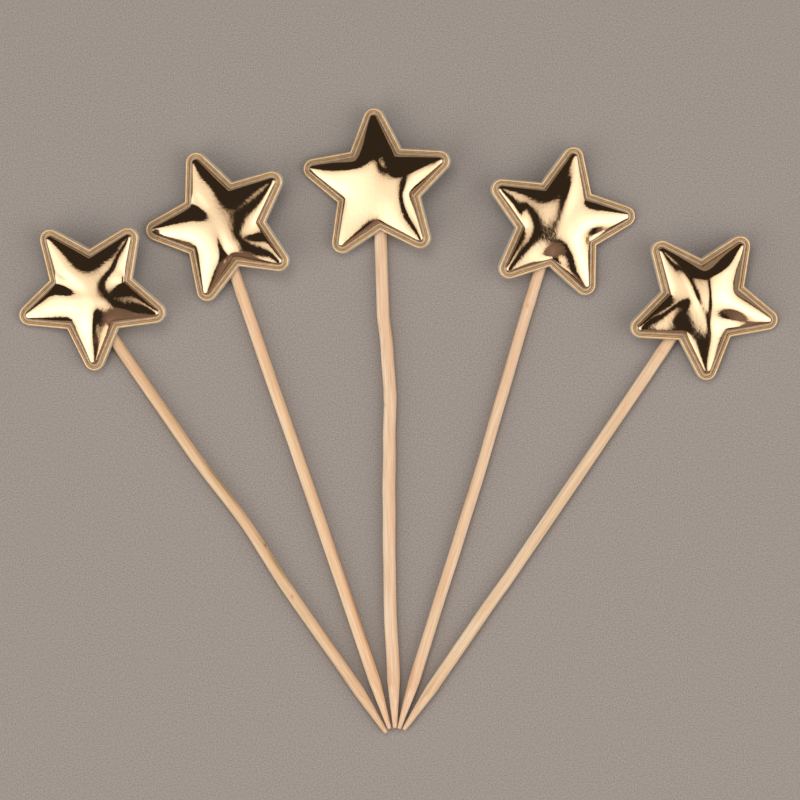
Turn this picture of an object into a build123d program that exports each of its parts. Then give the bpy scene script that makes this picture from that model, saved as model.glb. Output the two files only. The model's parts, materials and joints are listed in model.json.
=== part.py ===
from build123d import *
from math import acos, asin, atan2, cos, degrees, hypot, pi, radians, sin
import os

# Five padded foil stars on bamboo picks, laid out in a fan on a table.
# Lengths are millimetres. The table is the plane Z = 0 and the stars lie towards +Y.

# Star outline
star_points = 5
star_reach = 19.2
notch_radius = 10.95
tip_radius = 2.7
corner_radius = 0.3

# Welded rim round the padding: a rounded bead, a groove and the thin weld line
rim_width = 1.75
bead_inset = 0.15
bead_width = 0.9
bead_height = 0.3
bead_bevel_share = 0.45
weld_width = 0.35
weld_height = 0.12

# Layers of a star, from the back to the front
backing_thickness = 0.9
cover_thickness = 0.4
crown_height = 4.2
pad_clearance = 0.1
crest_radius = 0.7

# Levels of the crown: how far in from the weld line, how high, and how round
# its ridges and its valleys are there
crown_inset_shares = (0, 0.05, 0.17, 0.38, 0.64, 0.88)
crown_height_shares = (0, 0.34, 0.63, 0.85, 0.97, 1)
crown_ridge_shares = (1, 1, 1, 0.95, 0.8, 0.35)
crown_valley_shares = (0.08, 0.1, 0.16, 0.2, 0.2, 0.1)

# Bamboo pick
pick_diameter = 3.05
pick_length = 140.0
point_diameter = 0.9
taper_length = 12.0
taper_bulge = 0.1
butt_chamfer = 0.25
knuckle_length = 2.4
knuckle_swell = 0.08

# Hot glue between a star and its pick
glue_film = 0.2
glue_length = 15.0
glue_width = 7.0
glue_setback = 2.0
glue_gap = 0.03
glue_slope = 32.0

# The fan, left to right: direction of each pick in degrees clockwise from +Y,
# turn of each star on its pick, and the side of the star that rests on the table
pick_directions = (-34.65, -18.76, -1.64, 16.99, 34.11)
star_turns = (-3.0, -3.7, -1.8, -4.8, -1.3)
low_sides = (-1, -1, -1, 1, 1)

# Places along the fan: pick points in steps of the spacing between two of them,
# stars along and across their picks, and the knuckle along each pick
point_clearance = 0.4
point_across_shares = (-1.6, -1.0, 0, 1.02, 2.0)
point_along_shares = (-1.02, -0.2, 0, -0.2, -0.45)
star_overlap = 10.0
overlap_shares = (1.04, 1.01, 0.725, 1.02, 1.24)
across_shares = (0.89, 0.52, 0.1, 0.175, 0.41)
knuckle_shares = (0.39, 0.8, 0.58, 0.78, 0.8)

# Values that follow from the sizes above
pick_radius = pick_diameter / 2
point_radius = point_diameter / 2
axis_level = pick_radius + knuckle_swell
seat_level = pick_radius + glue_film
half_turn = pi / star_points
tip_centre = star_reach - tip_radius
notch_aside = notch_radius * sin(half_turn)
notch_below = tip_centre - notch_radius * cos(half_turn)
point_half_angle = acos(tip_radius / hypot(notch_aside, notch_below)) - atan2(notch_below, notch_aside)
edge_distance = tip_centre * sin(point_half_angle) + tip_radius
sharp_reach = tip_centre + tip_radius / sin(point_half_angle)


def star_face(inset, ridge_radius, valley_radius):
    """Fill the star's outline, drawn in by an inset, in the sketch that is open."""
    shrink = (edge_distance - inset) / edge_distance
    corners = []
    roundings = []
    for step in range(star_points):
        tip_angle = pi / 2 + 2 * step * half_turn
        notch_angle = tip_angle + half_turn
        corners.append((shrink * sharp_reach * cos(tip_angle), shrink * sharp_reach * sin(tip_angle)))
        corners.append((shrink * notch_radius * cos(notch_angle), shrink * notch_radius * sin(notch_angle)))
        roundings += [ridge_radius, valley_radius]
    with BuildLine() as outline:
        FilletPolyline(*corners, radius=roundings, close=True)
    make_face(outline.edges())


def rim_face(inset, width):
    """Fill a band of the rim, as wide as given, in the sketch that is open."""
    with BuildSketch(mode=Mode.PRIVATE) as inner:
        star_face(inset + width, max(tip_radius - inset - width, crest_radius), corner_radius)
    star_face(inset, max(tip_radius - inset, crest_radius), corner_radius)
    add(inner.sketch, mode=Mode.SUBTRACT)


def crown(inset, base_level, height, mode=Mode.ADD):
    """Loft a puffed star that stands on a level, in the part that is open."""
    padded_reach = edge_distance - inset
    shares = zip(crown_inset_shares, crown_height_shares, crown_ridge_shares, crown_valley_shares)
    levels = []
    for inset_share, height_share, ridge_share, valley_share in shares:
        with BuildSketch(Plane.XY.offset(base_level + height * height_share)) as level:
            star_face(inset + padded_reach * inset_share, crest_radius * ridge_share,
                      padded_reach * valley_share)
        levels.append(level.sketch)
    loft(levels, mode=mode)


# Felt back: origin under the middle of the star, one point towards +Y
with BuildPart() as backing:
    with BuildSketch():
        star_face(0, tip_radius, corner_radius)
    extrude(amount=backing_thickness)

# Foil cover: a welded rim with its bead and weld line, and a thin puffed crown
rim_level = backing_thickness + cover_thickness
with BuildPart() as foil_cover:
    with BuildSketch(Plane.XY.offset(backing_thickness)):
        star_face(0, tip_radius, corner_radius)
    extrude(amount=cover_thickness)
    with BuildSketch(Plane.XY.offset(rim_level)):
        rim_face(bead_inset, bead_width)
    extrude(amount=bead_height)
    bead_top = foil_cover.faces().filter_by(Axis.Z).sort_by(Axis.Z)[-1]
    chamfer(bead_top.edges(), min(bead_height, bead_width) * bead_bevel_share)
    with BuildSketch(Plane.XY.offset(rim_level)):
        rim_face(rim_width - weld_width, weld_width)
    extrude(amount=weld_height)
    crown(rim_width, backing_thickness, crown_height)
    crown(rim_width + cover_thickness, backing_thickness, crown_height - cover_thickness, Mode.SUBTRACT)

# Foam pad, just clear of the cover all round
pad_inset = rim_width + cover_thickness + pad_clearance
with BuildPart() as foam_pad:
    crown(pad_inset, backing_thickness, crown_height - cover_thickness - pad_clearance)

# Glue bead: a sloping oval mound under the back that grips the upper half of a pick,
# in the pick's own frame, with the pick's point at the origin and its length along +Y
glue_middle = pick_length - glue_setback - glue_length / 2
with BuildPart() as glue_bead:
    with BuildSketch(Plane.XY.offset(seat_level)):
        with Locations((0, glue_middle)):
            SlotOverall(glue_length, glue_width, rotation=90)
    extrude(amount=-seat_level, taper=glue_slope)
    with Locations((0, glue_middle, 0)):
        Cylinder(pick_radius + glue_gap, glue_length, rotation=(90, 0, 0), mode=Mode.SUBTRACT)


def make_pick(knuckle_share):
    """Turn one bamboo pick with its point at the origin and its length along +Y."""
    knuckle_middle = pick_length * knuckle_share
    knuckle_start = (pick_radius, knuckle_middle - knuckle_length / 2)
    knuckle_crest = (pick_radius + knuckle_swell, knuckle_middle)
    knuckle_end = (pick_radius, knuckle_middle + knuckle_length / 2)
    taper_middle = ((point_radius + pick_radius) / 2 + taper_bulge, taper_length / 2)
    taper_end = (pick_radius, taper_length)
    with BuildPart() as pick:
        with BuildSketch():
            with BuildLine():
                Line((0, 0), (point_radius, 0))
                ThreePointArc((point_radius, 0), taper_middle, taper_end)
                Line(taper_end, knuckle_start)
                ThreePointArc(knuckle_start, knuckle_crest, knuckle_end)
                Line(knuckle_end, (pick_radius, pick_length - butt_chamfer))
                Line((pick_radius, pick_length - butt_chamfer), (pick_radius - butt_chamfer, pick_length))
                Line((pick_radius - butt_chamfer, pick_length), (0, pick_length))
                Line((0, pick_length), (0, 0))
            make_face()
        revolve(axis=Axis.Y)
    return pick.part


def roll_to_table(across, turn, low_side):
    """Angle about the pick at which one point of the star's back comes down on the table."""
    low_reach = 0
    for step in range(star_points):
        tip_angle = radians(turn) + 2 * step * half_turn
        low_reach = max(low_reach, low_side * (across + tip_centre * sin(tip_angle)) + tip_radius)
    drop = atan2(seat_level, low_reach) + asin(axis_level / hypot(low_reach, seat_level))
    return low_side * degrees(drop)


# Every piece of every topper with its place in the fan, the middle pick's point at the origin
point_spacing = point_diameter + point_clearance
placed_pieces = []
for index, direction in enumerate(pick_directions):
    across = pick_diameter * across_shares[index]
    along = pick_length - star_overlap * overlap_shares[index]
    turn = star_turns[index]
    roll = roll_to_table(across, turn, low_sides[index])
    point_across = point_spacing * point_across_shares[index]
    point_along = point_spacing * point_along_shares[index]
    point = Pos(point_across, point_along, axis_level)
    pick_place = point * Rot(0, 0, -direction) * Rot(0, roll, 0)
    star_place = pick_place * Pos(across, along, seat_level) * Rot(0, 0, -turn)
    number = index + 1
    placed_pieces.append((f"backing_{number}", backing.part, star_place))
    placed_pieces.append((f"foil_cover_{number}", foil_cover.part, star_place))
    placed_pieces.append((f"foam_pad_{number}", foam_pad.part, star_place))
    placed_pieces.append((f"glue_bead_{number}", glue_bead.part, pick_place))
    placed_pieces.append((f"pick_{number}", make_pick(knuckle_shares[index]), pick_place))

# Move the fan so that the origin is under the middle of its box, on the table
boxes = [piece.moved(place).bounding_box() for name, piece, place in placed_pieces]
left = min(box.min.X for box in boxes)
right = max(box.max.X for box in boxes)
front = min(box.min.Y for box in boxes)
back = max(box.max.Y for box in boxes)
home = Pos(-(left + right) / 2, -(front + back) / 2, 0)

os.makedirs("parts", exist_ok=True)
for name, piece, place in placed_pieces:
    with BuildPart() as placed:
        with Locations(home * place):
            add(piece)
    placed.part.label = name
    export_step(placed.part, f"parts/{name}.step")
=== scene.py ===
import bpy
import json
import math
import numpy as np
from mathutils import Matrix, Vector


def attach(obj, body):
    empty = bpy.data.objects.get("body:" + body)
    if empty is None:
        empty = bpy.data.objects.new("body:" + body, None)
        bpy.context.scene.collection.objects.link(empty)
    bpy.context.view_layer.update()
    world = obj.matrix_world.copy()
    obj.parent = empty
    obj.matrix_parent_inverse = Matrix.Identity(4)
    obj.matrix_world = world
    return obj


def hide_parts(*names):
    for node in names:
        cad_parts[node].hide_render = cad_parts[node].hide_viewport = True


# Five padded gold-foil stars on bamboo picks, laid out in a fan and seen from straight above.
# Lengths are metres, in the frame's own axes: the table is Z = 0 and the stars lie towards +Y.

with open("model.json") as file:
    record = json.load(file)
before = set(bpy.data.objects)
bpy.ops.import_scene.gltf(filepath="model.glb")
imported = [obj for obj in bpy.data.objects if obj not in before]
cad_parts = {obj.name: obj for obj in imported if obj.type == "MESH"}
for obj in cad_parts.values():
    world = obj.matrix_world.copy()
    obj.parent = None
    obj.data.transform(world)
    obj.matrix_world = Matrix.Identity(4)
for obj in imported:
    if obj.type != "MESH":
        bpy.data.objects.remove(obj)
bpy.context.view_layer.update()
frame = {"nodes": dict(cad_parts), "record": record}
TOPPERS = (1, 2, 3, 4, 5)
MOUNTS = {mount["name"]: mount for mount in frame["record"]["mounts"]}

# Star outline
STAR_POINTS = 5
NOTCH_RADIUS = 0.01095
TIP_RADIUS = 0.0027
CORNER_RADIUS = 0.0003
CREST_RADIUS = 0.0005
RIM_WIDTH = 0.00175
TIP_BAND_SHARE = 0.985

# Layers of a star
FILM = 0.0004
CROWN = 0.0036
PAD_GAP = 0.0002

# Points along the outline: round the end of a point, along an edge and round a corner
TIP_STEPS = 11
EDGE_STEPS = 15
CORNER_STEPS = 7
CROWN_RINGS = 46
CROWN_CLUSTER = 1.6


# Places that the frame gives

def node_points(node):
    """Vertices of a CAD node, one row each."""
    mesh = frame["nodes"][node].data
    points = np.zeros(len(mesh.vertices) * 3)
    mesh.vertices.foreach_get("co", points)
    return points.reshape(-1, 3)


def solid_centre(node):
    """Centre of volume of a CAD node."""
    mesh = frame["nodes"][node].data
    mesh.calc_loop_triangles()
    corners = np.zeros(len(mesh.loop_triangles) * 3, int)
    mesh.loop_triangles.foreach_get("vertices", corners)
    triangles = node_points(node)[corners].reshape(-1, 3, 3)
    volumes = np.einsum("ij,ij->i", triangles[:, 0], np.cross(triangles[:, 1], triangles[:, 2]))
    return (triangles.sum(1) * volumes[:, None]).sum(0) / (4 * volumes.sum())


def matrix_of(axes, origin):
    """Placing matrix from three axis directions and an origin."""
    matrix = Matrix([list(row) for row in np.array(axes).T]).to_4x4()
    matrix.translation = Vector(origin)
    return matrix


def pick_place(number):
    """Frame of a pick, its point at the origin and its length along +Y, and that length."""
    mount = MOUNTS[f"pick_{number}_shank"]
    along = -np.array(mount["axis"])
    middle = np.array(mount["pos_m"])
    spans = (node_points(f"pick_{number}") - middle) @ along
    up = np.array((0, 0, 1))
    return matrix_of((np.cross(along, up), along, up), middle + along * spans.min()), np.ptp(spans)


def star_place(number):
    """Frame of a star, its origin under the middle of the back and one point near the pick's
    direction as +Y, with the reach of its points and the thickness of its back."""
    centre = solid_centre(f"backing_{number}")
    offsets = node_points(f"backing_{number}") - centre
    normal = np.linalg.eigh(offsets.T @ offsets)[1][:, 0]
    normal *= np.sign(normal[2])
    along = -np.array(MOUNTS[f"pick_{number}_shank"]["axis"])
    along -= normal * (along @ normal)
    along /= np.linalg.norm(along)
    across = np.cross(along, normal)
    flat = (offsets @ across) + 1j * (offsets @ along)
    reach = np.abs(flat).max()
    tips = flat[np.abs(flat) > reach * TIP_BAND_SHARE]
    turn = np.angle(np.mean((tips / np.abs(tips) / 1j) ** STAR_POINTS)) / STAR_POINTS
    point = along * math.cos(turn) - across * math.sin(turn)
    thickness = np.ptp(offsets @ normal)
    origin = centre - normal * thickness / 2
    return matrix_of((np.cross(point, normal), point, normal), origin), reach, thickness


pick_places = {number: pick_place(number) for number in TOPPERS}
star_places = {number: star_place(number) for number in TOPPERS}
STAR_REACH = star_places[1][1]
BACKING = star_places[1][2]
MM_IN_METRE = 1000
PICK_RADIUS = MOUNTS["pick_1_shank"]["dims"]["r_mm"] / MM_IN_METRE

# Shape of the outline that follows from its sizes
half_turn = math.pi / STAR_POINTS
tip_centre = STAR_REACH - TIP_RADIUS
notch_aside = NOTCH_RADIUS * math.sin(half_turn)
notch_below = tip_centre - NOTCH_RADIUS * math.cos(half_turn)
half_angle = math.acos(TIP_RADIUS / math.hypot(notch_aside, notch_below))
half_angle -= math.atan2(notch_below, notch_aside)
edge_distance = tip_centre * math.sin(half_angle) + TIP_RADIUS
sharp_reach = tip_centre + TIP_RADIUS / math.sin(half_angle)


# Meshes

def star_ring(inset):
    """Points round the star's outline drawn in by an inset, beginning at the point towards +Y."""
    tip_radius = max(TIP_RADIUS - inset, CREST_RADIUS)
    shrink = (edge_distance - inset) / edge_distance
    swing = math.pi / 2 - half_angle
    bend = swing - half_turn
    tip = np.exp(1j * np.linspace(-swing, swing, TIP_STEPS)) * tip_radius
    tip += shrink * sharp_reach - tip_radius / math.sin(half_angle)
    corner = np.exp(1j * np.linspace(bend, -bend, CORNER_STEPS)) * -CORNER_RADIUS
    corner += shrink * NOTCH_RADIUS + CORNER_RADIUS / math.cos(bend)
    corner *= np.exp(1j * half_turn)
    steps = np.linspace(0, 1, EDGE_STEPS + 2)[1:-1]
    down = tip[-1] + (corner[0] - tip[-1]) * steps
    rise = corner[-1] + (tip[0] * np.exp(2j * half_turn) - corner[-1]) * steps
    sector = np.concatenate([tip, down, corner, rise])
    ring = np.concatenate([sector * np.exp(2j * half_turn * step) for step in range(STAR_POINTS)]) * 1j
    return np.stack([ring.real, ring.imag], 1)


def raised(ring, level):
    """A flat ring of points lifted to a level, which may differ from point to point."""
    return np.column_stack([ring, np.broadcast_to(level, len(ring))])


def ring_mesh(name, rings, start, end, bands=None):
    """Closed mesh of rings joined one to the next, with a fan to a point at either end."""
    count = len(rings[0])
    bands = bands or [0] * (len(rings) - 1)
    points = [tuple(point) for ring in rings for point in ring] + [tuple(start), tuple(end)]
    here = np.arange(count)
    after = np.roll(here, -1)
    faces = []
    slots = []
    for ring, band in enumerate(bands):
        low = ring * count
        quads = np.stack([here, after, after + count, here + count], 1) + low
        faces += quads.tolist()
        slots += [band] * count
    first = len(points) - 2
    last = (len(rings) - 1) * count
    faces += np.stack([after, here, np.full(count, first)], 1).tolist()
    faces += np.stack([here + last, after + last, np.full(count, first + 1)], 1).tolist()
    slots += [bands[0]] * count + [bands[-1]] * count
    mesh = bpy.data.meshes.new(name)
    mesh.from_pydata(points, [], faces)
    mesh.polygons.foreach_set("material_index", slots)
    mesh.polygons.foreach_set("use_smooth", [True] * len(faces))
    mesh.update()
    return mesh


def piece(name, mesh, place, number, node, materials):
    """Put a mesh in the scene as the piece that stands for a CAD node of a topper."""
    made = bpy.data.objects.new(f"{name}_{number}", mesh)
    bpy.context.scene.collection.objects.link(made)
    for material in materials:
        mesh.materials.append(material)
    made.matrix_world = place
    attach(made, f"topper_{number}")
    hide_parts(f"{node}_{number}")
    return made


# Materials

def shader(name):
    """A new material, its node tree and its main shader."""
    material = bpy.data.materials.new(name)
    material.use_nodes = True
    return material, material.node_tree, material.node_tree.nodes["Principled BSDF"]


def add_node(tree, kind, **values):
    """A node with some of its inputs or settings filled in."""
    node = tree.nodes.new(kind)
    for key, value in values.items():
        if key in node.inputs:
            node.inputs[key].default_value = value
        else:
            setattr(node, key, value)
    return node


def piece_space(tree, stretch=(1, 1, 1)):
    """Coordinates of the piece itself, stretched by a factor for each axis."""
    coordinates = add_node(tree, "ShaderNodeTexCoord")
    mapping = add_node(tree, "ShaderNodeMapping", Scale=stretch)
    tree.links.new(coordinates.outputs["Object"], mapping.inputs["Vector"])
    return mapping.outputs["Vector"]


def noise(tree, space, scale, detail=4, roughness=0.6):
    """Height of a soft noise in a space."""
    node = add_node(tree, "ShaderNodeTexNoise", Scale=scale, Detail=detail, Roughness=roughness)
    tree.links.new(space, node.inputs["Vector"])
    return node.outputs["Fac"]


def cells(tree, space, scale):
    """Distance from the middles of small cells in a space."""
    node = add_node(tree, "ShaderNodeTexVoronoi", Scale=scale)
    tree.links.new(space, node.inputs["Vector"])
    return node.outputs["Distance"]


def ramp(tree, value, stops):
    """Colour from a value through a few stops of place and colour."""
    node = add_node(tree, "ShaderNodeValToRGB")
    while len(node.color_ramp.elements) < len(stops):
        node.color_ramp.elements.new(1)
    for element, (place, colour) in zip(node.color_ramp.elements, stops):
        element.position = place
        element.color = (*colour, 1)
    tree.links.new(value, node.inputs["Fac"])
    return node.outputs["Color"]


def spread(tree, value, low, high, socket):
    """Drive a shader's socket by a value between a low and a high setting."""
    node = add_node(tree, "ShaderNodeMapRange")
    node.inputs["To Min"].default_value = low
    node.inputs["To Max"].default_value = high
    tree.links.new(value, node.inputs["Value"])
    tree.links.new(node.outputs["Result"], socket)


def multiplied(tree, first, second):
    """Product of two colours."""
    node = add_node(tree, "ShaderNodeMix", data_type="RGBA", blend_type="MULTIPLY")
    node.inputs["Factor"].default_value = 1
    tree.links.new(first, node.inputs["A"])
    tree.links.new(second, node.inputs["B"])
    return node.outputs["Result"]


def bumped(tree, bsdf, height, strength, distance):
    """Bump the shader's normal with a height."""
    node = add_node(tree, "ShaderNodeBump", Strength=strength, Distance=distance)
    tree.links.new(height, node.inputs["Height"])
    tree.links.new(node.outputs["Normal"], bsdf.inputs["Normal"])


# Gold film and the pressed films of the rim: tint and shade, how metallic and how rough, grain in
# cycles per metre, and the strength and depth of its bumps
FOIL_TINT = (0.72, 0.525, 0.325)
FOIL_ROUGHNESS = (0.02, 0.06)
FOIL_CLOUDS = 420
FOIL_GRAIN = 1100
FOIL_BUMP = 0.25
FOIL_DEPTH = 0.0001
RIM_FILMS = {
    "rim_edge": ((0.6, 0.5, 0.38), (0.46, 0.38, 0.28), 0.2, 0.5),
    "rim_bead": ((0.82, 0.57, 0.32), (0.66, 0.44, 0.23), 0.3, 0.35),
    "rim_crease": ((0.2, 0.115, 0.055), (0.14, 0.08, 0.035), 0.1, 0.5),
    "rim_step": ((0.52, 0.34, 0.175), (0.38, 0.24, 0.12), 0.2, 0.4),
    "rim_weld": ((0.64, 0.55, 0.45), (0.46, 0.38, 0.29), 0.3, 0.35),
}
RIM_MOTTLE = 900
RIM_WEAVE = 3200
RIM_BUMP = 0.35
WEAVE_DEPTH = 0.00006


def gold_foil():
    """Mirror-gold metallised film with the faint grain of the foam under it."""
    material, tree, bsdf = shader("gold_foil")
    bsdf.inputs["Base Color"].default_value = (*FOIL_TINT, 1)
    bsdf.inputs["Metallic"].default_value = 1
    space = piece_space(tree)
    spread(tree, noise(tree, space, FOIL_CLOUDS), *FOIL_ROUGHNESS, bsdf.inputs["Roughness"])
    bumped(tree, bsdf, noise(tree, space, FOIL_GRAIN), FOIL_BUMP, FOIL_DEPTH)
    return material


def rim_film(name):
    """Pressed film of a band of the rim: duller, with the fine weave of the welding tool."""
    material, tree, bsdf = shader(name)
    tint, shade, metallic, roughness = RIM_FILMS[name]
    bsdf.inputs["Metallic"].default_value = metallic
    bsdf.inputs["Roughness"].default_value = roughness
    space = piece_space(tree)
    mottle = noise(tree, space, RIM_MOTTLE)
    tree.links.new(ramp(tree, mottle, ((0.3, shade), (0.7, tint))), bsdf.inputs["Base Color"])
    bumped(tree, bsdf, cells(tree, space, RIM_WEAVE), RIM_BUMP, WEAVE_DEPTH)
    return material


# Felt: its colour runs through stops of place and tone, as those of the next materials do
FELT_TONES = ((0.25, (0.33, 0.29, 0.24)), (0.75, (0.52, 0.47, 0.41)))
FELT_ROUGHNESS = 0.95
FELT_SHEEN = 0.2
FELT_FIBRES = 2400
FELT_BUMP = 0.7
FIBRE_DEPTH = 0.00012


def felt():
    """Pale pressed felt of the back."""
    material, tree, bsdf = shader("felt")
    bsdf.inputs["Roughness"].default_value = FELT_ROUGHNESS
    bsdf.inputs["Sheen Weight"].default_value = FELT_SHEEN
    fibres = noise(tree, piece_space(tree), FELT_FIBRES, detail=6, roughness=0.7)
    tree.links.new(ramp(tree, fibres, FELT_TONES), bsdf.inputs["Base Color"])
    bumped(tree, bsdf, fibres, FELT_BUMP, FIBRE_DEPTH)
    return material


# Foam
FOAM_TONES = ((0.1, (0.62, 0.6, 0.54)), (0.7, (0.8, 0.79, 0.75)))
FOAM_ROUGHNESS = 0.9
FOAM_PORES = 2200
FOAM_BUMP = 0.6
PORE_DEPTH = 0.0002


def foam():
    """White open-cell foam of the padding."""
    material, tree, bsdf = shader("foam")
    bsdf.inputs["Roughness"].default_value = FOAM_ROUGHNESS
    pores = cells(tree, piece_space(tree), FOAM_PORES)
    tree.links.new(ramp(tree, pores, FOAM_TONES), bsdf.inputs["Base Color"])
    bumped(tree, bsdf, pores, FOAM_BUMP, PORE_DEPTH)
    return material


# Hot glue: light scatters in it, red the farthest
GLUE_TONES = ((0.3, (0.62, 0.56, 0.42)), (0.7, (0.78, 0.74, 0.62)))
GLUE_ROUGHNESS = 0.22
GLUE_MILKINESS = 0.3
GLUE_SCATTER = (0.002, 0.0016, 0.001)
GLUE_CLOUDS = 380
GLUE_BUMP = 0.3


def hot_glue():
    """Milky hot-melt glue."""
    material, tree, bsdf = shader("hot_glue")
    bsdf.inputs["Roughness"].default_value = GLUE_ROUGHNESS
    bsdf.inputs["Subsurface Weight"].default_value = GLUE_MILKINESS
    bsdf.inputs["Subsurface Radius"].default_value = GLUE_SCATTER
    clouds = noise(tree, piece_space(tree), GLUE_CLOUDS)
    tree.links.new(ramp(tree, clouds, GLUE_TONES), bsdf.inputs["Base Color"])
    bumped(tree, bsdf, clouds, GLUE_BUMP, PORE_DEPTH)
    return material


# Bamboo: its grain in cycles per metre is fine across a pick and long along it
FIBRE_GRAIN = (2600, 60, 2600)
FIBRE_TONES = (
    (0.25, (0.54, 0.32, 0.18)), (0.42, (0.68, 0.44, 0.27)), (0.55, (0.74, 0.52, 0.35)),
    (0.75, (0.81, 0.64, 0.49)))
CLOUD_GRAIN = (900, 50, 900)
CLOUD_TONES = ((0.35, (0.94, 0.86, 0.8)), (0.5, (1, 0.98, 0.96)), (0.65, (0.98, 1, 0.97)))
BAMBOO_ROUGHNESS = 0.55
BAMBOO_SHINE = 0.3
BAMBOO_BUMP = 0.3


def bamboo():
    """Pale split bamboo: long fibres, soft changes of tone, and the marks, painted sheen and painted
    shade that each pick carries.
    """
    material, tree, bsdf = shader("bamboo")
    bsdf.inputs["Roughness"].default_value = BAMBOO_ROUGHNESS
    bsdf.inputs["Specular IOR Level"].default_value = BAMBOO_SHINE
    streaks = noise(tree, piece_space(tree, FIBRE_GRAIN), scale=1, detail=5, roughness=0.7)
    clouds = noise(tree, piece_space(tree, CLOUD_GRAIN), scale=1, detail=3)
    tone = multiplied(tree, ramp(tree, streaks, FIBRE_TONES), ramp(tree, clouds, CLOUD_TONES))
    # Each pick's marks, with painted sheen along its edges and, on picks 1 and 2, painted shade on its
    # right side
    marks_sheen_and_shade = add_node(tree, "ShaderNodeVertexColor", layer_name="marks_sheen_and_shade")
    tree.links.new(multiplied(tree, tone, marks_sheen_and_shade.outputs["Color"]), bsdf.inputs["Base Color"])
    bumped(tree, bsdf, streaks, BAMBOO_BUMP, FIBRE_DEPTH)
    return material


# Foil covers

SOLVE_TOLERANCE = 1e-10


def blown_skin(outline, scales):
    """Height, from 0 to 1, of an even skin blown up over an outline, at shrunken copies of the
    outline and at its centre."""
    count = len(outline)
    points = np.concatenate([outline * scale for scale in scales] + [np.zeros((1, 2))])
    here = np.arange(count)
    after = np.roll(here, -1)
    triangles = []
    for ring in range(len(scales) - 1):
        outer = ring * count
        inner = outer + count
        triangles.append(np.stack([outer + here, outer + after, inner + here], 1))
        triangles.append(np.stack([outer + after, inner + after, inner + here], 1))
    last = (len(scales) - 1) * count
    triangles.append(np.stack([last + here, last + after, np.full(count, last + count)], 1))
    triangles = np.concatenate(triangles)
    corners = points[triangles]
    edges = np.roll(corners, 1, 1) - np.roll(corners, -1, 1)
    areas = np.abs(edges[:, 0, 0] * edges[:, 1, 1] - edges[:, 0, 1] * edges[:, 1, 0]) / 2
    stiffness = np.einsum("tik,tjk->tij", edges, edges) / (4 * areas[:, None, None])
    used = triangles.ravel()
    free = np.arange(len(points)) >= count
    rest = np.where(free, np.bincount(used, np.repeat(areas / 3, 3)), 0)
    diagonal = np.bincount(used, np.einsum("tii->ti", stiffness).ravel())
    heights = np.zeros(len(points))
    step = rest / diagonal
    size = rest @ step
    goal = size * SOLVE_TOLERANCE
    while size > goal:
        pull = np.bincount(used, np.einsum("tij,tj->ti", stiffness, step[triangles]).ravel())
        pull = np.where(free, pull, 0)
        share = size / (step @ pull)
        heights += share * step
        rest -= share * pull
        eased = rest / diagonal
        new_size = rest @ eased
        step = eased + step * new_size / size
        size = new_size
    return heights / heights.max()


# Rim of a cover, from its cut edge in to the foot of the crown: how far in as shares of the
# rim's width, how high as shares of the film, and the finish of each band between two of these
EDGE, BEAD, CREASE, STEP, WELD, MIRROR = range(6)
RIM_INSET_SHARES = (
    0.08, 0.06, 0.08, 0.12, 0.18, 0.27, 0.35, 0.38, 0.41, 0.45, 0.53,
    0.58, 0.62, 0.66, 0.74, 0.79, 0.83, 0.88, 0.92, 0.96, 1)
RIM_LEVEL_SHARES = (
    0, 0.5, 1, 1.5, 1.75, 1.8, 1.65, 1.45, 1.5, 1.7, 1.75,
    1.5, 1.05, 1, 1.05, 1.05, 1.25, 1.3, 1.2, 1.05, 1)
RIM_BANDS = (
    EDGE, EDGE, EDGE, BEAD, BEAD, BEAD, CREASE, CREASE, STEP, STEP,
    STEP, CREASE, STEP, STEP, STEP, WELD, WELD, WELD, CREASE, STEP)

# Crown: how it rises from the weld, how far the arms stand above the valleys between them, and how
# its swells and its lean fade out towards the weld
EDGE_POWER = 0.12
CREST_POWER = 0.9
CREST_SHARES = {1: 0.45, 2: 0.45, 3: 0.45, 4: 0.45, 5: 0.2}
RIDGE_SHARE = 0.05
FADE_POWER = 6
LEAN_FADE_POWER = 1.3

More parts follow.
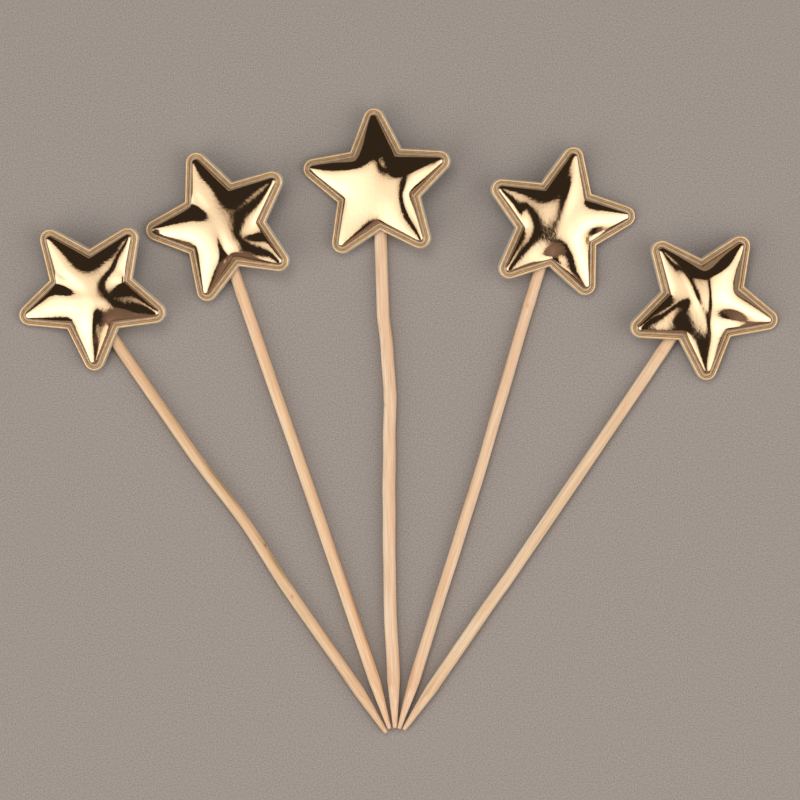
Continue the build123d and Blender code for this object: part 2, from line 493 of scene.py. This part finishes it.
# Lean of each crown, rising to the right and up the picture, and its swells and dents: places to
# the right and up as shares of the reach, length and width as shares of it, direction of the length
# in degrees anticlockwise from the right, and height as a share of the crown
LEAN_SHARES = {1: (-0.015, 0), 2: (-0.05, -0.02), 3: (0.02, 0.07), 4: (0.03, -0.02), 5: (0.11, 0.13)}
SWELL_SHARES = {
    1: ((-0.36, 0.13, 0.17, 0.07, -20, -0.22), (0.45, 0.18, 0.14, 0.08, 22, -0.24),
        (0.3, -0.12, 0.2, 0.07, -12, 0.1), (0.03, -0.46, 0.2, 0.055, 86, 0.09),
        (0.34, 0.42, 0.14, 0.1, 70, 0.06)),
    2: ((-0.1, 0.62, 0.22, 0.09, 113, 0.18), (-0.36, 0.28, 0.14, 0.07, -35, -0.2),
        (0.5, -0.08, 0.16, 0.07, 8, -0.15), (0.25, -0.3, 0.25, 0.16, 40, 0.16),
        (0.08, -0.32, 0.2, 0.05, 110, -0.08)),
    3: ((0, 0.48, 0.2, 0.11, 97, 0.2), (0.42, -0.1, 0.15, 0.2, 0, 0.2),
        (-0.25, 0.22, 0.2, 0.12, 170, 0.08), (0.5, 0.16, 0.2, 0.06, 20, 0.06),
        (-0.3, 0.3, 0.2, 0.12, 170, 0.08)),
    4: ((-0.1, -0.46, 0.15, 0.15, 0, -0.24), (0.47, -0.18, 0.14, 0.1, 20, -0.24),
        (0.1, 0.36, 0.22, 0.05, 72, 0.08), (-0.14, 0.04, 0.22, 0.1, 55, -0.05),
        (-0.5, 0, 0.16, 0.05, 90, -0.06)),
    5: ((0.05, 0.02, 0.5, 0.05, 92, 0.05), (0.07, 0.02, 0.5, 0.14, 92, 0.16),
        (0.08, 0.05, 0.5, 0.3, 92, 0.3), (-0.46, -0.08, 0.2, 0.06, 38, 0.13),
        (-0.16, 0.14, 0.26, 0.03, 114, 0.035), (0.36, -0.22, 0.16, 0.09, -12, -0.24),
        (0.1, 0.42, 0.2, 0.07, 20, 0.06)),
}

crown_scales = 1 - np.linspace(0, 1, CROWN_RINGS + 1)[:-1] ** CROWN_CLUSTER
weld_ring = star_ring(RIM_WIDTH)
crown_points = np.concatenate([weld_ring * scale for scale in crown_scales] + [np.zeros((1, 2))])
skin = blown_skin(weld_ring, crown_scales)


def crown_heights(number):
    """Height of a star's crown above its foot, at each of the crown's points."""
    place = star_places[number][0]
    heading = math.atan2(place[1][0], place[0][0])
    flat = (crown_points[:, 0] + 1j * crown_points[:, 1]) / STAR_REACH
    arms = np.abs(flat) ** 2 * np.cos(STAR_POINTS * (np.angle(flat) - math.pi / 2))
    seen = flat * np.exp(1j * heading)
    fade = 1 - (1 - skin) ** FADE_POWER
    crest = CREST_SHARES[number]
    heights = skin ** EDGE_POWER * (1 - crest) + skin ** CREST_POWER * crest
    heights += fade * arms * RIDGE_SHARE
    for right, up, length, width, turn, height in SWELL_SHARES[number]:
        offset = (seen - complex(right, up)) * np.exp(-1j * math.radians(turn))
        heights += fade * height * np.exp(-((offset.real / length) ** 2 + (offset.imag / width) ** 2) / 2)
    lean_right, lean_up = LEAN_SHARES[number]
    lean_fade = 1 - (1 - skin) ** LEAN_FADE_POWER
    return heights * CROWN + lean_fade * (seen.real * lean_right + seen.imag * lean_up) * STAR_REACH


def foil_cover(number, materials):
    """Puffed film of one star with its welded rim, closed underneath."""
    count = len(weld_ring)
    foot = FILM * RIM_LEVEL_SHARES[-1]
    levels = foot + crown_heights(number)
    outside = []
    for inset_share, level_share in zip(RIM_INSET_SHARES, RIM_LEVEL_SHARES):
        outside.append(raised(star_ring(RIM_WIDTH * inset_share), FILM * level_share))
    # The inner skin comes down to the back beside the weld
    inside = [raised(weld_ring * crown_scales[1], 0)]
    for ring, scale in enumerate(crown_scales[1:], start=1):
        level = levels[ring * count:(ring + 1) * count]
        outside.append(raised(weld_ring * scale, level))
        inside.append(raised(weld_ring * scale, np.maximum(level - FILM, 0)))
    bands = [EDGE] * len(inside) + list(RIM_BANDS) + [MIRROR] * (CROWN_RINGS - 1)
    top = (0, 0, levels[-1])
    under = (0, 0, levels[-1] - FILM)
    mesh = ring_mesh(f"foil_cover_{number}", inside[::-1] + outside, under, top, bands)
    place = star_places[number][0] @ Matrix.Translation((0, 0, BACKING))
    made = piece("star_cover", mesh, place, number, "foil_cover", materials)


# Felt backs: insets of the rounded edge as shares of the felt's thickness, and levels as shares of it

BACK_INSET_SHARES = (4, 1, 0.3, 0.1, 0, 0, 0.06, 0.2, 1, 4)
BACK_LEVEL_SHARES = (0, 0, 0, 0.08, 0.3, 0.7, 0.9, 1, 1, 1)
BACK_FUZZ = 0.00005


def felt_back(number, material):
    """Die-cut felt star under the cover, with a slightly ragged edge."""
    ragged = np.random.default_rng(number)
    rings = []
    for inset_share, level_share in zip(BACK_INSET_SHARES, BACK_LEVEL_SHARES):
        ring = star_ring(BACKING * inset_share)
        if 0 < level_share < 1:
            ring = ring * (1 - ragged.random(len(ring)) * BACK_FUZZ / STAR_REACH)[:, None]
        rings.append(raised(ring, BACKING * level_share))
    mesh = ring_mesh(f"felt_back_{number}", rings, (0, 0, 0), (0, 0, BACKING))
    piece("felt_back", mesh, star_places[number][0], number, "backing", [material])


# Foam pads

PAD_FOOT_SHARE = 0.98


def foam_pad(number, material):
    """Foam star that fills the space under the cover."""
    count = len(weld_ring)
    shrink = (edge_distance - RIM_WIDTH - FILM - PAD_GAP) / (edge_distance - RIM_WIDTH)
    levels = np.maximum((crown_heights(number) - FILM - PAD_GAP) * shrink, PAD_GAP)
    rings = [raised(weld_ring * shrink * PAD_FOOT_SHARE, 0)]
    for ring, scale in enumerate(crown_scales):
        rings.append(raised(weld_ring * shrink * scale, levels[ring * count:(ring + 1) * count]))
    mesh = ring_mesh(f"foam_pad_{number}", rings, (0, 0, 0), (0, 0, levels[-1]))
    place = star_places[number][0] @ Matrix.Translation((0, 0, BACKING))
    made = piece("foam_core", mesh, place, number, "foam_pad", [material])


# Glue mounds, in their picks' frames; the grips are degrees round a pick from its top

GLUE_LENGTH = 0.015
GLUE_WIDTH = 0.007
GLUE_SETBACK = 0.002
GLUE_FILM = 0.0002
GLUE_SKIN = 0.00003
GLUE_STATIONS = 25
GLUE_ARC_STEPS = 11
GLUE_SIDE_STEPS = 5
GLUE_TOP_STEPS = 9
GLUE_GRIP = 78.0
GLUE_END_GRIP = 20.0
GLUE_RIPPLE_SHARE = 0.06
GLUE_END_SHARE = 0.03
GLUE_ROUND_POWER = 3


def star_roll(number):
    """Turn about a pick that brings its up direction onto the normal of the star's back."""
    inverse = pick_places[number][0].to_3x3().inverted()
    normal = inverse @ star_places[number][0].to_3x3().col[2]
    return Matrix.Rotation(math.atan2(normal.x, normal.z), 4, "Y")


def glue_mound(number, material):
    """Bead of glue that grips the upper half of a pick and fills the space under the star's back."""
    place, length = pick_places[number]
    roll = star_roll(number)
    ripple = np.random.default_rng(number)
    middle = length - GLUE_SETBACK - GLUE_LENGTH / 2
    seat = PICK_RADIUS + GLUE_FILM
    rings = []
    for step in np.linspace(-1, 1, GLUE_STATIONS):
        full = math.sqrt(max(1 - abs(step) ** GLUE_ROUND_POWER, GLUE_END_SHARE))
        wobble = 1 - GLUE_RIPPLE_SHARE * ripple.random(2)
        grip = math.radians(GLUE_END_GRIP + (GLUE_GRIP - GLUE_END_GRIP) * full)
        arc = (PICK_RADIUS + GLUE_SKIN) * np.exp(1j * np.linspace(-grip, grip, GLUE_ARC_STEPS))
        right = complex(seat - GLUE_SKIN, GLUE_WIDTH / 2 * full * wobble[0])
        left = complex(seat - GLUE_SKIN, -GLUE_WIDTH / 2 * full * wobble[1])
        side = np.linspace(0, 1, GLUE_SIDE_STEPS + 2)[1:-1]
        top = np.linspace(0, 1, GLUE_TOP_STEPS)
        ring = np.concatenate([
            arc, arc[-1] + (right - arc[-1]) * side, right + (left - right) * top,
            left + (arc[0] - left) * side])
        y = np.full(len(ring), middle + step * GLUE_LENGTH / 2)
        rings.append(np.column_stack([ring.imag, y, ring.real]))
    ends = [(0, middle + step * GLUE_LENGTH / 2, seat - GLUE_FILM / 2) for step in (-1, 1)]
    mesh = ring_mesh(f"glue_mound_{number}", rings, *ends)
    piece("glue_mound", mesh, place @ roll, number, "glue_bead", [material])


# Bamboo picks: steps round and along, the point, and how far from round they are; the lobes twist
# and the waves turn by radians over the length

PICK_SIDES = 32
PICK_RINGS = 280
PHASE_DRAWS = 6
POINT_RADIUS = 0.00045
TAPER = 0.012
TAPER_POWER = 0.85
BUTT_CHAMFER = 0.00025
KNUCKLE = 0.0012
KNUCKLE_SWELL_SHARE = 0.05
OVAL_SHARE = 0.02
LOBE_SHARE = 0.012
RIB_SHARE = 0.006
WAVE_SHARE = 0.012
LOBE_TWIST = 4
WAVE_TURN = 23
WIDTH_SHARES = {1: 0.89, 2: 0.92, 3: 1.05, 4: 0.91, 5: 0.95}
KNUCKLE_SHARES = {1: 0.39, 2: 0.8, 3: 0.58, 4: 0.78, 5: 0.8}

# Bows of the picks: places along as shares of the length, and offsets to the right as shares of
# the radius
BOW_SHARES = {
    1: ((0, 0.1, 0.3, 0.44, 0.6, 1), (0.13, 0.32, 0.22, 0.66, 0.06, 0.06)),
    2: ((0, 0.1, 0.35, 0.5, 0.66, 1), (0.12, 0.3, 0.3, 0.24, 0.11, 0.08)),
    3: ((0, 0.1, 0.2, 0.3, 0.4, 0.5, 0.58, 0.66, 0.73, 1),
        (0.1, 0.1, -0.13, -0.02, 0.2, 0.52, 0.86, 0.6, 0.12, 0.04)),
    4: ((0, 0.1, 0.2, 0.35, 0.47, 0.6, 0.75, 1), (-0.12, -0.03, 0.02, 0.18, 0.27, 0.1, -0.05, 0)),
    5: ((0, 0.1, 0.25, 0.33, 0.6, 1), (-0.2, -0.2, -0.12, 0.03, 0.07, 0.08)),
}

# Tone of each pick, and its marks and painted light: place along as a share of the length, half length
# as a share of it, turn round the pick in degrees from the top, half width in degrees, and the tone
# that darkens or pales it. The paling bands of half length 0.9 to either side of the top are a painted
# sheen along the picks' edges. The darker band on the right of pick 2 at 0.5 is painted shade, and the
# one on the right of pick 1 at 0.7 is partly the grey-olive streak of that side and partly painted
# shade; the other entries are the picks' own marks
PICK_TONES = {
    1: (0.92, 0.89, 0.82), 2: (1, 0.97, 0.91), 3: (0.98, 0.99, 1), 4: (1, 1, 1), 5: (0.96, 0.96, 0.92)}
MARK_SHEEN_AND_SHADE_SHARES = {
    1: ((0.5, 0.9, -55, 28, (1.2, 1.36, 1.5)), (0.391, 0.003, 55, 18, (0.4, 0.28, 0.2)),
        (0.29, 0.003, -5, 12, (0.7, 0.42, 0.32)), (0.355, 0.035, 52, 22, (0.58, 0.58, 0.42)),
        (0.52, 0.05, 55, 22, (0.52, 0.5, 0.36)), (0.7, 0.2, 55, 25, (0.85, 0.82, 0.78))),
    2: ((0.5, 0.9, -55, 28, (1.2, 1.4, 1.6)), (0.5, 0.6, 60, 25, (0.92, 0.88, 0.86)),
        (0.2, 0.16, 60, 30, (0.96, 0.84, 0.74))),
    3: ((0.5, 0.9, -55, 28, (1.16, 1.3, 1.42)), (0.565, 0.004, -60, 16, (0.8, 0.68, 0.56)),
        (0.61, 0.025, 15, 8, (0.88, 0.76, 0.64)), (0.7, 0.04, 70, 18, (0.75, 0.72, 0.55)),
        (0.4, 0.1, 30, 24, (1, 0.94, 0.9))),
    4: ((0.5, 0.9, -45, 25, (1.08, 1.13, 1.15)), (0.5, 0.9, 58, 26, (1.06, 1.18, 1.3)),
        (0.774, 0.004, -12, 16, (0.84, 0.64, 0.54)), (0.25, 0.12, 5, 10, (0.9, 0.82, 0.7))),
    5: ((0.5, 0.9, -55, 30, (1.2, 1.4, 1.62)), (0.5, 0.9, 55, 28, (1.12, 1.24, 1.36)),
        (0.8, 0.003, 0, 60, (0.93, 0.88, 0.82)), (0.5, 0.15, 30, 14, (0.95, 0.9, 0.84))),
}


def smooth_curve(places, values, wanted):
    """Values between a few places, eased from each to the next."""
    index = np.clip(np.searchsorted(places, wanted, side="right") - 1, 0, len(places) - 2)
    start = np.array(places)[index]
    share = (wanted - start) / (np.array(places)[index + 1] - start)
    ease = share * share * (3 - 2 * share)
    low = np.array(values)[index]
    return low + (np.array(values)[index + 1] - low) * ease


def tones_with_marks_sheen_and_shade(number, station, turns):
    """Tones round a pick at a share of its length, with the marks, painted sheen and painted shade that
    reach there.
    """
    tones = np.array([PICK_TONES[number]] * len(turns))
    for share, half_length, turn, half_width, tone_shift in MARK_SHEEN_AND_SHADE_SHARES[number]:
        around = np.angle(np.exp(1j * (turns - math.radians(turn)))) / math.radians(half_width)
        near = np.exp(-((station - share) / half_length) ** 2 - around ** 2)
        tones = tones * (1 - near[:, None] * (1 - np.array(tone_shift)))
    return np.column_stack([tones, np.ones(len(turns))])


def bamboo_pick(number, material):
    """One pick: fibrous, slightly bowed and uneven, with its blunt point and its knuckle."""
    place, length = pick_places[number]
    uneven = np.random.default_rng(number)
    # The first three of the drawn phases are used
    oval_phase, lobe_phase, wave_phase = uneven.random(PHASE_DRAWS)[:3] * 2 * math.pi
    ribs = uneven.standard_normal(PICK_SIDES) * RIB_SHARE
    turns = np.linspace(0, 2 * math.pi, PICK_SIDES, endpoint=False)
    stations = np.linspace(0, 1, PICK_RINGS)
    bows = smooth_curve(*BOW_SHARES[number], stations) * PICK_RADIUS
    rings = []
    tones = []
    for station, bow in zip(stations, bows):
        along = station * length
        taper = min(along / TAPER, 1) ** TAPER_POWER
        radius = POINT_RADIUS + (PICK_RADIUS - POINT_RADIUS) * taper
        radius -= max(along + BUTT_CHAMFER - length, 0)
        shares = 1 + OVAL_SHARE * np.cos(2 * turns + oval_phase) + ribs
        shares += LOBE_SHARE * np.cos(3 * turns + lobe_phase + station * LOBE_TWIST)
        shares += WAVE_SHARE * math.sin(station * WAVE_TURN + wave_phase)
        knot = ((station - KNUCKLE_SHARES[number]) * length / KNUCKLE) ** 2
        shares = shares * (1 + KNUCKLE_SWELL_SHARE * math.exp(-knot))
        shares = np.minimum(shares, 1 + KNUCKLE_SWELL_SHARE)
        aside = radius * shares * np.sin(turns) * WIDTH_SHARES[number] + bow
        above = radius * shares * np.cos(turns)
        rings.append(np.column_stack([aside, np.full(PICK_SIDES, along), above]))
        tones.append(tones_with_marks_sheen_and_shade(number, station, turns))
    ends = ((bows[0], 0, 0), (bows[-1], length, 0))
    mesh = ring_mesh(f"pick_{number}", rings, *ends)
    tones = np.concatenate(tones + [np.ones((2, 4))])
    # The tones carry the pick's marks, painted sheen along its edges and, on picks 1 and 2, painted shade
    # on its right side
    marks_sheen_and_shade = mesh.color_attributes.new("marks_sheen_and_shade", "FLOAT_COLOR", "POINT")
    marks_sheen_and_shade.data.foreach_set("color", tones.ravel())
    piece("bamboo_pick", mesh, place, number, "pick", [material])


# Stage

FLOOR_SIZE = 8.0
FLOOR_GAP = 0.00002
VIEW_WIDTH = 0.196
VIEW_DISTANCE = 2.5
VIEW_RIGHT = 0.0014
VIEW_UP = 0.0803
SENSOR = 36.0

# Paper under the fan
PAPER_TONES = ((0.25, (0.163, 0.144, 0.13)), (0.75, (0.4, 0.353, 0.322)))
PAPER_ROUGHNESS = 0.9
PAPER_SHINE = 0.1
PAPER_TOOTH = 3000

# Lamps on both sides, in front and on top, and the light of the room
LEFT_PLACE = (-1.05, -0.65, 0.84)
LEFT_AIM = (-0.33, -0.7, 0)
LEFT_WIDTH = 1.9
RIGHT_PLACE = (1.02, -0.33, 0.84)
RIGHT_AIM = (0.3, -0.53, 0)
RIGHT_WIDTH = 1.88
SIDE_HEIGHT = 2.03
SIDE_RADIANCE = 2.2
SIDE_TONE = (1, 1, 1)
FRONT_PLACE = (0.3, -1.35, 0.75)
FRONT_AIM = (0.08, -0.15, 0.08)
FRONT_WIDTH = 1.8
FRONT_HEIGHT = 1.5
FRONT_RADIANCE = 0.26
FRONT_TONE = (1, 0.72, 0.68)
TOP_PLACE = (-0.2, 0.5, 1.2)
TOP_AIM = (-0.02, 0.05, 0)
TOP_SIZE = 0.8
TOP_RADIANCE = 5.0
TOP_TONE = (1, 1, 1)
ROOM_TONE = (0.04, 0.032, 0.026)

# Glow of a softbox from its rim to its middle, which lies half-way across
BOX_MIDDLE = 0.5
BOX_GLOW = (
    (0, (0.12, 0.09, 0.07)), (0.012, (0.32, 0.28, 0.25)), (0.06, (0.55, 0.54, 0.52)),
    (0.35, (0.85, 0.85, 0.84)), (1, (1.4, 1.4, 1.4)))


def paper_floor():
    """Warm pale-grey paper under the fan."""
    material, tree, bsdf = shader("paper")
    bsdf.inputs["Roughness"].default_value = PAPER_ROUGHNESS
    bsdf.inputs["Specular IOR Level"].default_value = PAPER_SHINE
    tooth = noise(tree, piece_space(tree), PAPER_TOOTH, detail=3, roughness=0.7)
    tree.links.new(ramp(tree, tooth, PAPER_TONES), bsdf.inputs["Base Color"])
    half = FLOOR_SIZE / 2
    mesh = bpy.data.meshes.new("paper_floor")
    corners = [(-half, -half, 0), (half, -half, 0), (half, half, 0), (-half, half, 0)]
    mesh.from_pydata(corners, [], [(0, 1, 2, 3)])
    mesh.materials.append(material)
    floor = bpy.data.objects.new("paper_floor", mesh)
    bpy.context.scene.collection.objects.link(floor)
    floor.location.z = -FLOOR_GAP


def box_glow(tree):
    """Colour across a softbox, from its rim to its middle."""
    surface = add_node(tree, "ShaderNodeNewGeometry")
    sides = add_node(tree, "ShaderNodeSeparateXYZ")
    tree.links.new(surface.outputs["Parametric"], sides.inputs["Vector"])
    both = add_node(tree, "ShaderNodeMath", operation="MULTIPLY")
    for index, side in enumerate("XY"):
        inward = add_node(tree, "ShaderNodeMath", operation="PINGPONG")
        inward.inputs[1].default_value = BOX_MIDDLE
        tree.links.new(sides.outputs[side], inward.inputs[0])
        tree.links.new(inward.outputs["Value"], both.inputs[index])
    middle = add_node(tree, "ShaderNodeMapRange")
    middle.inputs["From Max"].default_value = BOX_MIDDLE ** 2
    tree.links.new(both.outputs["Value"], middle.inputs["Value"])
    return ramp(tree, middle.outputs["Result"], BOX_GLOW)


def softbox(name, place, aim, width, height, radiance, tone, mirrored=True):
    """A large lamp pointing at a place, brightest in its middle, that mirrors show or leave out."""
    lamp = bpy.data.lights.new(name, "AREA")
    lamp.shape = "RECTANGLE"
    lamp.size = width
    lamp.size_y = height
    lamp.energy = radiance * width * height * math.pi
    lamp.color = tone
    lamp.use_nodes = True
    tree = lamp.node_tree
    tree.links.new(box_glow(tree), tree.nodes["Emission"].inputs["Color"])
    holder = bpy.data.objects.new(name, lamp)
    bpy.context.scene.collection.objects.link(holder)
    holder.location = place
    holder.visible_glossy = mirrored
    holder.rotation_euler = (Vector(aim) - Vector(place)).to_track_quat("-Z", "Y").to_euler()


def camera_above():
    """Camera straight above the fan, with the picks' points at the bottom of the picture."""
    camera = bpy.data.cameras.new("camera")
    camera.sensor_width = SENSOR
    camera.lens = SENSOR * VIEW_DISTANCE / VIEW_WIDTH
    holder = bpy.data.objects.new("camera", camera)
    bpy.context.scene.collection.objects.link(holder)
    point = pick_places[3][0].translation
    holder.location = (point.x + VIEW_RIGHT, point.y + VIEW_UP, VIEW_DISTANCE)
    bpy.context.scene.camera = holder


def room():
    """Dim warm light from all round, in a picture that keeps its plain tones."""
    world = bpy.data.worlds.new("room")
    world.use_nodes = True
    world.node_tree.nodes["Background"].inputs["Color"].default_value = (*ROOM_TONE, 1)
    bpy.context.scene.world = world
    bpy.context.scene.view_settings.view_transform = "Standard"


# Pieces of the five toppers; the films are listed in the order of the rim's bands
films = [rim_film(name) for name in RIM_FILMS] + [gold_foil()]
felt_material = felt()
foam_material = foam()
glue_material = hot_glue()
bamboo_material = bamboo()
for number in TOPPERS:
    foil_cover(number, films)
    felt_back(number, felt_material)
    foam_pad(number, foam_material)
    glue_mound(number, glue_material)
    bamboo_pick(number, bamboo_material)

# Floor, lamps, camera and room
paper_floor()
softbox("left_softbox", LEFT_PLACE, LEFT_AIM, LEFT_WIDTH, SIDE_HEIGHT, SIDE_RADIANCE, SIDE_TONE)
softbox("right_softbox", RIGHT_PLACE, RIGHT_AIM, RIGHT_WIDTH, SIDE_HEIGHT, SIDE_RADIANCE, SIDE_TONE)
softbox("front_fill", FRONT_PLACE, FRONT_AIM, FRONT_WIDTH, FRONT_HEIGHT, FRONT_RADIANCE, FRONT_TONE)
softbox("top_fill", TOP_PLACE, TOP_AIM, TOP_SIZE, TOP_SIZE, TOP_RADIANCE, TOP_TONE, mirrored=False)
camera_above()
room()
